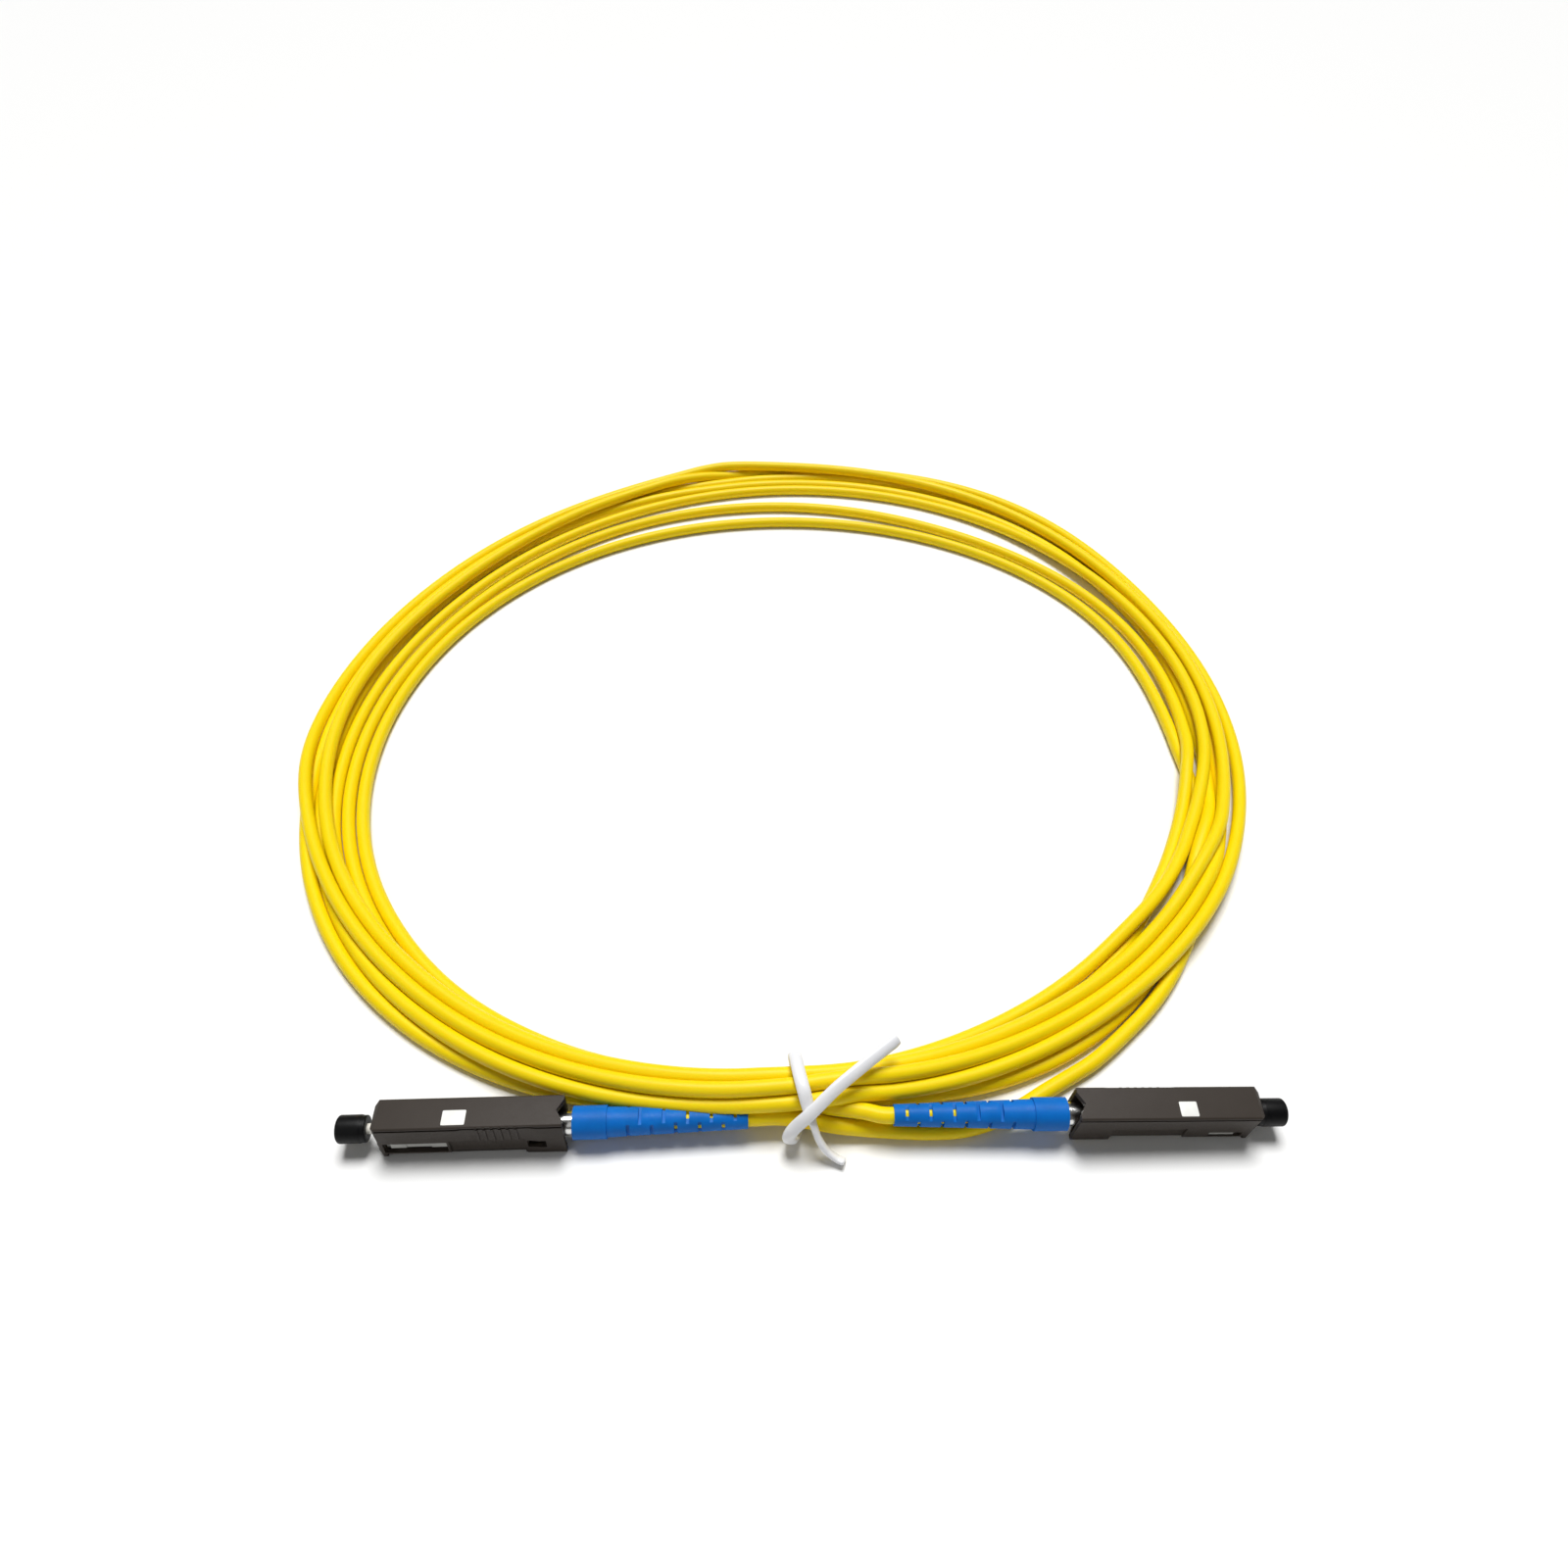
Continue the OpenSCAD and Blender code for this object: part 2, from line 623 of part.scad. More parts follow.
module cable_lead_b() {
  inside = [for (s = [boot_rear + straight_exit, boot_rear, (jacket_end + boot_rear) / 2,
    jacket_end]) axis_b(s)];
  color([0.98, 0.80, 0.04])
    swept_tube(curve(concat(route_b, inside), 2), cable_d / 2, 8, [0, 0, 1]);
}

module twist_tie() {
  color([0.94, 0.94, 0.95])
    swept_tube(curve(tie_route, 2), tie_d / 2, 8, [1, 0, 0]);
}

at_a() dust_cap(cap_a_off);  // dust_cap_a
at_b() dust_cap(0);  // dust_cap_b
at_a() grip_housing();  // grip_housing_a
at_b() grip_housing();  // grip_housing_b
at_a() plug_frame();  // plug_frame_a
at_b() plug_frame();  // plug_frame_b
at_a() ferrule();  // ferrule_a
at_b() ferrule();  // ferrule_b
at_a() ferrule_flange();  // ferrule_flange_a
at_b() ferrule_flange();  // ferrule_flange_b
at_a() spring();  // spring_a
at_b() spring();  // spring_b
at_a() stop_ring();  // stop_ring_a
at_b() stop_ring();  // stop_ring_b
at_a() crimp_ring();  // crimp_ring_a
at_b() crimp_ring();  // crimp_ring_b
at_a() aramid_yarn();  // aramid_yarn_a
at_b() aramid_yarn();  // aramid_yarn_b
at_a() buffered_fibre();  // buffered_fibre_a
at_b() buffered_fibre();  // buffered_fibre_b
at_a() strain_boot(0);  // strain_boot_a
at_b() strain_boot(8);  // strain_boot_b
cable_coil();
cable_lead_a();
cable_lead_b();
twist_tie();
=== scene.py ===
# %% [markdown]
# # A coiled single-fibre patch cord
# The cord is three metres of thin yellow cable with a small push-pull plug on
# each end. It lies wound in seven turns, held by a white twist tie. The packed
# CAD model is loaded first. It fixes every size and place, and this script
# dresses it: the cable at its real length, rounded edges, and finishes.

# %% Load the frame
import math

import bmesh
import bpy
import numpy as np
from mathutils import Matrix


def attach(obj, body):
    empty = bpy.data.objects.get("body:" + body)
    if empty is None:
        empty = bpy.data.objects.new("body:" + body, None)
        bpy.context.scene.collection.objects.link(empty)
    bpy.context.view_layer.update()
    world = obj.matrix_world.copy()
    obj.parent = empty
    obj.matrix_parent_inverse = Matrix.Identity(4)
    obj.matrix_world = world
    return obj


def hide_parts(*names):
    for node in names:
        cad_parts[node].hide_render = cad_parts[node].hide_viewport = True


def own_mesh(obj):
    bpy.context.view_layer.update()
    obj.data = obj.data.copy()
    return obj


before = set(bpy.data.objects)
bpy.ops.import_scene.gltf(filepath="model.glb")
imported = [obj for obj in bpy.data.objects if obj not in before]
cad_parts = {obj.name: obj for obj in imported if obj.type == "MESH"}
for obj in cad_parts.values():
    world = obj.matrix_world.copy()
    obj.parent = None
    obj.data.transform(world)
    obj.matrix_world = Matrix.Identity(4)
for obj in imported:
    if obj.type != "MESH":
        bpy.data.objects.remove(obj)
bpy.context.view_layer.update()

MM = 0.001

# %% [markdown]
# The camera stands in front of the plugs, low over the table, and looks down
# at the middle of the coil through a wide lens. The wide lens makes the front
# of the coil look larger than its back, so its place has to be right before
# any shape can be compared.

# %% Camera
CAMERA_AT = (-4.6, -68.7, 124.9)
PITCH_DOWN = math.radians(43.99)
ROLL = math.radians(1.115)
FOCAL_LENGTH = 25.9
SENSOR_W = 36
NEAREST_SEEN = 5
lens = bpy.data.cameras.new("camera")
lens.sensor_width = SENSOR_W
lens.lens = FOCAL_LENGTH
lens.clip_start = NEAREST_SEEN * MM
camera = bpy.data.objects.new("camera", lens)
camera.matrix_world = (
    Matrix.Translation([v * MM for v in CAMERA_AT])
    @ Matrix.Rotation(math.pi / 2 - PITCH_DOWN, 4, "X")
    @ Matrix.Rotation(ROLL, 4, "Z")
)
bpy.context.scene.collection.objects.link(camera)
bpy.context.scene.camera = camera
print("camera at", [round(v, 4) for v in camera.location])

# %% [markdown]
# Both plugs have the same shape, so one set of numbers serves both. A place
# along a plug is a station: its distance in millimetres behind the mouth of
# the grip housing. A matrix for each end carries that frame to the table.

# %% Where the plugs lie
ENDS = ("a", "b")
CAP_A_OFF = 1
PLUG_SPAN = 104.1
MOUTH_ASIDE = 2.1
HOUSING_W = 4.1
HOUSING_H = 6.2
HOUSING_EDGE_R = 0.3
MOUTH_BEVEL = 0.6
YAW = {"a": math.radians(183), "b": math.radians(2.4)}
DIP = {"a": 0, "b": math.radians(1.2)}
LEAN = {"a": 0, "b": math.radians(8)}
# A leaning housing stands on one rounded edge, and its axis is higher for it
leaning_h = ((HOUSING_H / 2 - HOUSING_EDGE_R) * math.cos(LEAN["b"])
             + (HOUSING_W / 2 - HOUSING_EDGE_R) * math.sin(LEAN["b"]) + HOUSING_EDGE_R)
MOUTH = {
    "a": np.array([(CAP_A_OFF - PLUG_SPAN) / 2, -MOUTH_ASIDE, HOUSING_H / 2]) * MM,
    "b": np.array([
        (CAP_A_OFF + PLUG_SPAN) / 2, MOUTH_ASIDE,
        leaning_h * math.cos(DIP["b"]) - MOUTH_BEVEL * math.sin(DIP["b"]),
    ]) * MM,
}
PLUG = {
    end: Matrix.Translation(MOUTH[end]) @ Matrix.Rotation(YAW[end], 4, "Z")
    @ Matrix.Rotation(DIP[end], 4, "Y") @ Matrix.Rotation(LEAN[end], 4, "X")
    for end in ENDS
}


def on_axis(end, station):
    """The point on a plug's axis, station millimetres behind its mouth."""
    return np.array(PLUG[end] @ Matrix.Translation((-station * MM, 0, 0)).to_translation())


def to_table(end, points):
    """Points in a plug's own frame, turned with the plug and moved to its mouth."""
    return points.reshape(-1, 3) @ np.array(PLUG[end].to_3x3()).T + MOUTH[end]


print("mouths in mm:", {end: (MOUTH[end] / MM).round(2).tolist() for end in ENDS})

# %% [markdown]
# The loose turns of a hand-wound coil never lie as a perfect spiral: they
# cross, fan out at the back and bunch up where the tie holds them. They could
# be dropped by a physics simulation, but such a pile is hard to steer. Here
# each turn gets a wished-for place every 30 degrees, and a small relaxation
# then bends them smoothly and pushes them a cable's width apart.

# %% Wished-for places of the turns
CABLE_D = 2 * MM
HUB = np.array([-6, 73]) * MM
TIE_ANGLE = -90
WISH_STEP = 30
# Radius and height in mm of each turn, every 30 degrees from the tie, in the
# order that the cable runs
TURNS = [
    [(73, 2.8), (75.4, 1), (71.4, 1), (65.3, 1), (67.9, 1), (67, 1),
     (65, 1), (64.1, 1), (63.5, 1), (64.7, 1), (67.5, 1), (69.4, 1)],
    [(68.4, 4.3), (64.7, 1.3), (66.2, 2.3), (70.4, 2.8), (73.8, 2.8), (79.3, 1),
     (78.5, 1), (73.4, 1), (69, 1), (69.2, 1.2), (71.6, 1), (72.3, 1.6)],
    [(70, 4.45), (67.9, 1), (64.6, 1), (67.2, 1.6), (71.4, 1), (70.6, 1),
     (71.4, 1), (69.4, 1), (65.5, 1.6), (67, 1.2), (69.5, 1), (71.2, 1)],
    [(68.7, 2.4), (73.3, 1), (69.6, 1), (69.6, 1.7), (74.8, 1), (81.4, 1),
     (81, 1), (77, 1), (72.2, 1), (71.6, 1), (73.6, 1), (73.6, 2)],
    [(71.9, 4.75), (71.2, 2.6), (72.6, 2.7), (75.5, 1), (79.4, 1), (89, 1.4),
     (85.8, 1.2), (76.8, 2.6), (71.4, 2.6), (71.8, 2.8), (71.2, 2.9), (70.1, 2.9)],
    [(69.4, 6.35), (67.1, 2.8), (69.1, 2.9), (72.7, 2.8), (76.5, 2.8), (83.6, 2.8),
     (84.4, 2.9), (81.3, 1.2), (76.1, 1.2), (75.3, 1.3), (73, 3), (71.8, 3)],
    [(71.3, 6.6), (69.2, 3), (70.4, 1.8), (71.7, 1), (77.4, 1), (85.6, 1),
     (83.4, 1), (79.1, 1), (74.1, 1), (73.4, 1), (75.3, 1), (75, 1)],
]
# The last places, where the cable passes the tie for the eighth time
TURNS_END = [(70.9, 2.4), (74, 4)]
print(len(TURNS), "turns")

# %% [markdown]
# Between the coil and each plug the cable runs free, along listed points, the
# same as in the CAD model. Lead A passes through the tie, sinks to the table
# in front of the bundle and joins the turns on the right. Lead B leaves them
# on the left, passes through the tie too and rises to its boot.
# Inside the boots the cable is straight. A Catmull-Rom curve goes through each
# of its points, where a B-spline would cut the corners, so it is used here.

# %% The free stretches at both ends
ROUTE_A = np.array([
    (-4.5, 0.4, 3.1), (-1, 0.2, 2.75), (2.5, 0, 2.05), (7, 0, 1.4), (11.5, 0, 1.05),
    (15.5, 0.1, 1.05), (19.5, 0.8, 1.05), (24.5, 3.1, 1.05), (29.5, 6.4, 1.05),
    (35, 9.9, 1.05), (40.3, 14.6, 1.05), (44.7, 19.1, 1.05), (48.5, 24.1, 1.05),
    (52.1, 30.1, 1.05), (55.2, 36.6, 1.05),
]) * MM
ROUTE_B = np.array([
    (-16, 4.9, 1.9), (-11, 3.5, 2.2), (-6, 2.7, 2.4), (-2.5, 2.4, 2.45),
    (0, 2.1, 3), (1.9, 1.5, 3.65), (5.6, 0.8, 4.1),
]) * MM
JACKET_END = 25.3
BOOT_REAR = 43.5
STRAIGHT_EXIT = 1.2
STRAIGHT = np.linspace(JACKET_END, BOOT_REAR + STRAIGHT_EXIT, 9)


def spline(knots, steps):
    """Catmull-Rom curve with steps points from knot to knot. Between b and c, with a before
    and d after them, it is (2b + (c - a)t + (2a - 5b + 4c - d)t^2 + (3b - a - 3c + d)t^3) / 2."""
    k = np.asarray(knots, float)
    p = np.vstack([2 * k[0] - k[1], k, 2 * k[-1] - k[-2]])
    t = np.arange(steps)[None, :, None] / steps
    a, b, c, d = (p[i:len(p) - 3 + i, None] for i in range(4))
    bends = (2 * b + (c - a) * t + (2 * a - 5 * b + 4 * c - d) * t ** 2
             + (3 * b - a - 3 * c + d) * t ** 3) / 2
    return np.vstack([bends.reshape(-1, k.shape[1]), k[-1:]])


def length_of(points):
    """The length of a chain of points."""
    return np.linalg.norm(np.diff(points, axis=0), axis=1).sum()


print("routes in mm:", round(length_of(ROUTE_A) / MM, 1), round(length_of(ROUTE_B) / MM, 1))

# %% [markdown]
# The relaxation works on stations every 3 degrees round the hub, so strands
# that lie side by side have their stations on one ray and are easy to compare.
# The stations that a free stretch passes are put on it and held there.

# %% Stations round the hub
STEP = 3
ROUND = 360 // STEP
STATIONS_PAST_TIE = 5
ROUTE_STEPS = 8


def around_hub(points, turn):
    """Angle in degrees, radius and height about the coil's middle, after turn turns."""
    x, y = (points[:, :2] - HUB).T
    return np.degrees(np.arctan2(y, x)) + 360 * turn, np.hypot(x, y), points[:, 2]


def hold(places, angles, route, turn, skip_first, skip_last):
    """Puts the stations that a route passes on it, and says which of them are held there:
    all but those beside its skip_first first and skip_last last points."""
    at, radius, height = around_hub(route, turn)
    near = (angles >= at[0]) & (angles <= at[-1])
    places[near] = np.stack([
        np.interp(angles[near], at, radius), np.interp(angles[near], at, height)], 1)
    return near & (angles >= at[skip_first]) & (angles <= at[-1 - skip_last])


def first_stations():
    """The stations' angles, their wished-for radius and height, and which are held."""
    wish = np.array([place for turn in TURNS for place in turn] + TURNS_END) * MM
    places = spline(wish, WISH_STEP // STEP)[:len(TURNS) * ROUND + STATIONS_PAST_TIE]
    angles = TIE_ANGLE + STEP * np.arange(len(places))
    exit_a = on_axis("a", BOOT_REAR + STRAIGHT_EXIT)
    exit_b = on_axis("b", BOOT_REAR)
    from_a = spline(np.vstack([exit_a, ROUTE_A]), ROUTE_STEPS)
    into_b = spline(np.vstack([ROUTE_B, exit_b]), ROUTE_STEPS)
    held = hold(places, angles, from_a, turn=0, skip_first=0, skip_last=2)
    held |= hold(places, angles, into_b, turn=len(TURNS),
                 skip_first=2 * ROUTE_STEPS, skip_last=0)
    return angles, places, held


angles, wish, held = first_stations()
print("stations:", len(wish), "held:", held.sum())

# %% [markdown]
# Each pass draws a station towards its wished-for place, lets it sink a
# little, levels it with its two neighbours, as a stiff cable would, and moves
# it away from the strands that it presses into. The drawing and sinking fade
# out, so that the last passes only settle the contacts. At the tie the table
# counts as higher, because the tie passes under the strands there.

# %% Relax the turns
PASSES = 500
# Shares of the way back to the wish, in radius and in height, and mm of sinking
DRAW = (0.04, 0.03)
SINK = 0.004
# Share of the way to the middle of both neighbours, and what early passes add
LEVEL_LEAST = 0.08
LEVEL_MORE = 0.5
# Pushes in a pass, the share of the lack that each moves, and mm of spare room
PUSHES = 2
PUSH = 0.4
ROOM = 0.02
# Height in mm that the tie takes under the strands, and its reach in degrees
TIE_LIFT = 1.4
TIE_LIFT_SPREAD = 9
# Strands that a ray may cross, and metres between those that it doesn't
MOST_STRANDS = 8
FAR_OFF = 9


def lay_turns(wish, held):
    """Relaxes the stations. Those on one ray move apart by a share of what their distance
    lacks to a diameter. Gives their places and the least distance between two middles."""
    places = wish.copy()
    ray = np.arange(len(places)) % ROUND
    from_tie = (ray * STEP + 180) % 360 - 180
    floor = CABLE_D / 2 + TIE_LIFT * MM * np.exp(-(from_tie / TIE_LIFT_SPREAD) ** 2)
    rows = -np.ones((ROUND, MOST_STRANDS), int)
    rows[ray, np.arange(len(places)) // ROUND] = np.arange(len(places))
    used = rows >= 0
    # An unused place lies metres off and presses on nothing
    spare = FAR_OFF * (1 + np.arange(MOST_STRANDS))
    spare = spare[None, :, None].repeat(ROUND, 0).repeat(2, 2)
    for i in range(PASSES):
        early = 1 - i / PASSES
        places += early * (wish - places) * DRAW - [0, SINK * early * MM]
        even = places.copy()
        even[1:-1] = (places[:-2] + 2 * places[1:-1] + places[2:]) / 4
        places += (LEVEL_MORE * early + LEVEL_LEAST) * (even - places)
        for _ in range(PUSHES):
            here = np.where(used[..., None], places[rows], spare)
            apart = here[:, :, None] - here[:, None]
            gap = np.linalg.norm(apart, axis=3) + np.eye(MOST_STRANDS)
            lack = np.clip(CABLE_D + ROOM * MM - gap, 0, None)
            move = (apart / gap[..., None] * PUSH * lack[..., None]).sum(2)
            np.add.at(places, rows[used], move[used])
            places[:, 1] = np.maximum(places[:, 1], floor)
            places[held] = wish[held]
    return places, gap.min()


places, tightest = lay_turns(wish, held)
print("closest middles in mm:", round(tightest / MM, 2))

# %% [markdown]
# One curve is the whole cable: straight out of plug A, along its free
# stretch, round all the turns, along the other free stretch and straight into
# plug B. So the strands that cross in the coil are really one cord, and its
# length can be measured.

# %% The cable's whole centreline
CABLE_STEPS = 4
turn_angles = np.radians(angles)
turns = np.stack([
    HUB[0] + places[:, 0] * np.cos(turn_angles),
    HUB[1] + places[:, 0] * np.sin(turn_angles),
    places[:, 1],
], 1)
# The rest of both routes is in the held stations
start_a = ROUTE_A[:3]
end_b = ROUTE_B[-2:]
# A station less than half a step from a route's end would put a kink there
after_a = angles > around_hub(start_a, 0)[0][-1] + STEP / 2
before_b = angles < around_hub(end_b, len(TURNS))[0][0] - STEP / 2
centreline = spline(np.vstack([
    [on_axis("a", station) for station in STRAIGHT],
    start_a,
    turns[after_a & before_b],
    end_b,
    [on_axis("b", station) for station in STRAIGHT[::-1]],
]), CABLE_STEPS)

# %% [markdown]
# Each new piece is a grid of points: rows of points round its section, one
# row after another. Quads join neighbours, and the grid closes on itself or
# gets a flat face on each end. Where faces meet gently the shading is smooth,
# and a real edge stays sharp.

# %% Meshes from a grid
SHARP = math.radians(35)


def add_piece(name, verts, faces, uv=None):
    """A new object at the origin from points in metres, smooth where faces meet gently."""
    mesh = bpy.data.meshes.new(name)
    mesh.from_pydata(np.asarray(verts, float).tolist(), [], [list(f) for f in faces])
    if uv is not None:
        layer = mesh.uv_layers.new(name="along")
        corner = np.empty(len(mesh.loops), np.int32)
        mesh.loops.foreach_get("vertex_index", corner)
        layer.data.foreach_set("uv", np.asarray(uv, np.float32)[corner].ravel())
    mesh.shade_smooth()
    mesh.set_sharp_from_angle(angle=SHARP)
    mesh.validate()
    piece = bpy.data.objects.new(name, mesh)
    bpy.context.scene.collection.objects.link(piece)
    return piece


def skin(rows, sides, closed=False):
    """Quads over rows of sides points each, and a flat end on both, or closed to a ring."""
    i, k = np.meshgrid(np.arange(rows - (not closed)), np.arange(sides), indexing="ij")
    m, j = (k + 1) % sides, (i + 1) % rows
    quads = np.stack([i * sides + k, j * sides + k, j * sides + m, i * sides + m], -1)
    faces = quads.reshape(-1, 4).tolist()
    if not closed:
        faces += [list(range(sides)), list(range(rows * sides - 1, (rows - 1) * sides - 1, -1))]
    return faces


print("a closed grid of 3 by 4 points has", len(skin(3, 4, closed=True)), "quads")

# %% [markdown]
# A swept tube needs a ring of points at each point of its path. A ring that
# kept one world direction would pinch where the path turns, so each ring takes
# the last one's direction with its part along the path taken out. The ring's
# distance along the path goes into the UV map, so that a finish can follow it.

# %% The cable as a swept tube
def ring_frames(path, side):
    """At each point of a path, two directions square to it that don't twist along it."""
    ahead = np.gradient(path, axis=0)
    ahead /= np.linalg.norm(ahead, axis=1, keepdims=True)
    across = np.empty_like(path)
    last = np.asarray(side, float)
    for i, way in enumerate(ahead):
        last = last - (last @ way) * way
        last /= np.linalg.norm(last)
        across[i] = last
    return across, np.cross(ahead, across)


def sweep(name, path, radius, sides=16, side=(0, 0, 1), frames=None, flat=1):
    """Tube along a path: ring i is path[i] + radius[i] (cos t across + flat sin t up)."""
    across, up = frames or ring_frames(path, side)
    t = np.linspace(0, 2 * np.pi, sides, endpoint=False)[None, :, None]
    r = np.broadcast_to(radius, len(path))[:, None, None]
    points = path[:, None] + r * (
        np.cos(t) * across[:, None] + flat * np.sin(t) * up[:, None])
    run = np.r_[0, np.cumsum(np.linalg.norm(np.diff(path, axis=0), axis=1))]
    uv = np.stack(np.broadcast_arrays(run[:, None] / MM, t[..., 0] / (2 * np.pi)), -1)
    return add_piece(name, points.reshape(-1, 3), skin(len(path), sides), uv.reshape(-1, 2))


cable = sweep("cable", centreline, CABLE_D / 2)
print("cable faces:", len(cable.data.polygons))

# %% [markdown]
# Each finish is a small node tree. Colours are written as sRGB hex values, the
# way a paint chip is, and Blender wants linear light, so one function turns
# them. Another small one adds a node with its settings and links.

# %% Colours and nodes
def hex_colour(code):
    """An sRGB hex code as linear red, green, blue and alpha."""
    s = np.array([int(code[i:i + 2], 16) / 255 for i in (1, 3, 5)])
    linear = np.where(s <= 0.04045, s / 12.92, ((s + 0.055) / 1.055) ** 2.4)
    return (*linear.tolist(), 1)


def surface_of(material):
    """The material's Principled shader."""
    return material.node_tree.nodes["Principled BSDF"]


def new_material(name, colour, roughness, **shader):
    """A material with one Principled shader. Keywords name more of its sockets."""
    made = bpy.data.materials.new(name)
    made.use_nodes = True
    sockets = surface_of(made).inputs
    sockets["Base Color"].default_value = hex_colour(colour)
    sockets["Roughness"].default_value = roughness
    for socket, value in shader.items():
        sockets[socket.replace("_", " ")].default_value = value
    return made


def add_node(owner, kind, inputs=(), **settings):
    """A node in a material or world. An input takes a value or another node's output."""
    made = owner.node_tree.nodes.new(kind)
    for name, value in settings.items():
        setattr(made, name, value)
    for socket, value in dict(inputs).items():
        if isinstance(value, bpy.types.NodeSocket):
            owner.node_tree.links.new(value, made.inputs[socket])
        else:
            made.inputs[socket].default_value = value
    return made


def link(material, output, socket):
    """Feeds an output to a socket of the Principled shader."""
    material.node_tree.links.new(output, surface_of(material).inputs[socket])


print("mid grey in linear light:", round(hex_colour("#808080")[0], 3))

# %% [markdown]
# The jacket is PVC drawn through a round die. It is smooth and a little soft,
# so light goes into it and comes back warmer: that is why the shaded side of
# a yellow cable looks amber and not grey. Subsurface scattering gives that.
# The die leaves faint lines along the cable, and the gloss varies with them.
# The real ones are too fine to show, so they are drawn 0.7 mm wide, nine
# round the cable, and about 8 mm long.

# %% Finish of the cable
jacket = new_material("pvc_jacket_extruded", "#F6D800", 0.4, IOR=1.5,
                      Specular_IOR_Level=0.25, Subsurface_Weight=0.25,
                      Subsurface_Radius=(1, 0.5, 0.02), Subsurface_Scale=1 * MM)
# U runs in mm along the cable, and V once round it
LINES_A_MM = 0.12
LINES_ROUND = 9
along = add_node(jacket, "ShaderNodeUVMap", uv_map="along")
stretched = add_node(jacket, "ShaderNodeMapping", {
    "Vector": along.outputs["UV"], "Scale": (LINES_A_MM, LINES_ROUND, 1)})
die_lines = add_node(jacket, "ShaderNodeTexNoise", {
    "Vector": stretched.outputs["Vector"], "Scale": 1, "Detail": 3})
die_bump = add_node(jacket, "ShaderNodeBump", {
    "Height": die_lines.outputs["Fac"], "Distance": 0.02 * MM})
link(jacket, die_bump.outputs["Normal"], "Normal")
handled = add_node(jacket, "ShaderNodeMapRange", {
    "Value": die_lines.outputs["Fac"], "From Min": 0.3, "From Max": 0.7,
    "To Min": 0.36, "To Max": 0.5})
link(jacket, handled.outputs["Result"], "Roughness")
cable.data.materials.append(jacket)
print("cable finish:", jacket.name)

# %% [markdown]
# The plug's plastic parts are injection moulded. A mould leaves its own fine
# grain in the skin, and where the melt flowed the colour drifts very slightly
# from place to place. One function gives each of the two, and a finish is a
# base colour with both at the size that its material shows. A real mould's
# grain is a few hundredths of a millimetre, too fine to show, so it is drawn
# three or four times as wide.

# %% Two marks of moulding
# The Mix node's sockets for colours, which share their names with its others
COLOUR_A, COLOUR_B, COLOUR_MIXED = 6, 7, 2


def mottled(material, other, size):
    """The base colour drifts to another one in clouds of that size in mm."""
    place = add_node(material, "ShaderNodeTexCoord")
    clouds = add_node(material, "ShaderNodeTexNoise", {
        "Vector": place.outputs["Object"], "Scale": 1 / (size * MM), "Detail": 2})
    blend = add_node(material, "ShaderNodeMix", {
        "Factor": clouds.outputs["Fac"],
        COLOUR_A: surface_of(material).inputs["Base Color"].default_value,
        COLOUR_B: hex_colour(other)}, data_type="RGBA")
    link(material, blend.outputs[COLOUR_MIXED], "Base Color")


def moulded_skin(material, size, depth, spread):
    """Grain of that size in mm: bumps of that depth, and a roughness that wanders by spread."""
    place = add_node(material, "ShaderNodeTexCoord")
    grain = add_node(material, "ShaderNodeTexNoise", {
        "Vector": place.outputs["Object"], "Scale": 1 / (size * MM), "Detail": 3})
    bump = add_node(material, "ShaderNodeBump", {
        "Height": grain.outputs["Fac"], "Distance": depth * MM})
    link(material, bump.outputs["Normal"], "Normal")
    middle = surface_of(material).inputs["Roughness"].default_value
    sheen = add_node(material, "ShaderNodeMapRange", {
        "Value": grain.outputs["Fac"], "From Min": 0.3, "From Max": 0.7,
        "To Min": middle - spread, "To Max": middle + spread})
    link(material, sheen.outputs["Result"], "Roughness")


print("a grain of 0.12 mm is a noise scale of", round(1 / (0.12 * MM)))

# %% Finishes of the moulded parts
# PBT: a warm near-black, satin from its grain, so its edges show as soft light lines
charcoal = new_material("pbt_housing_moulded", "#352E28", 0.52, IOR=1.5, Specular_IOR_Level=0.25)
mottled(charcoal, "#3B342E", size=2.5)
moulded_skin(charcoal, size=0.12, depth=0.006, spread=0.08)

# PEI: light grey and finer, the pale bar that shows in the housing's window
grey = new_material("pei_frame_moulded", "#A3A39E", 0.45)
mottled(grey, "#B4B4B0", size=2)
moulded_skin(grey, size=0.15, depth=0.004, spread=0.06)

# Polyethylene: waxy black with a broad weak highlight
black = new_material("pe_cap_moulded", "#050506", 0.45, IOR=1.45, Specular_IOR_Level=0.2)
mottled(black, "#0A0A0B", size=1.5)
moulded_skin(black, size=0.2, depth=0.006, spread=0.1)

# Thermoplastic rubber: dull, and a little light comes back out of it bluer
blue = new_material("tpe_boot_moulded", "#0274D2", 0.5, IOR=1.45, Specular_IOR_Level=0.2,
                    Subsurface_Weight=0.2, Subsurface_Radius=(0.1, 0.4, 1),
                    Subsurface_Scale=0.6 * MM)
mottled(blue, "#0160AE", size=2.5)
moulded_skin(blue, size=0.25, depth=0.008, spread=0.08)
print("moulded finishes:", charcoal.name, grey.name, black.name, blue.name)

# %% [markdown]
# Ink, ground ceramic and drawn nylon aren't moulded, but they show the same
# two things at other sizes: a fine grain in the gloss and a slight drift of
# colour. So the same two functions serve them.

# %% Finishes of the mark, the ferrules and the fibre
# Pad-printed ink: flat white, with the grain of the plastic below just showing
white_ink = new_material("index_mark_pad_printed", "#F4F4EF", 0.5)
mottled(white_ink, "#E6E6E0", size=0.6)
moulded_skin(white_ink, size=0.08, depth=0.003, spread=0.06)

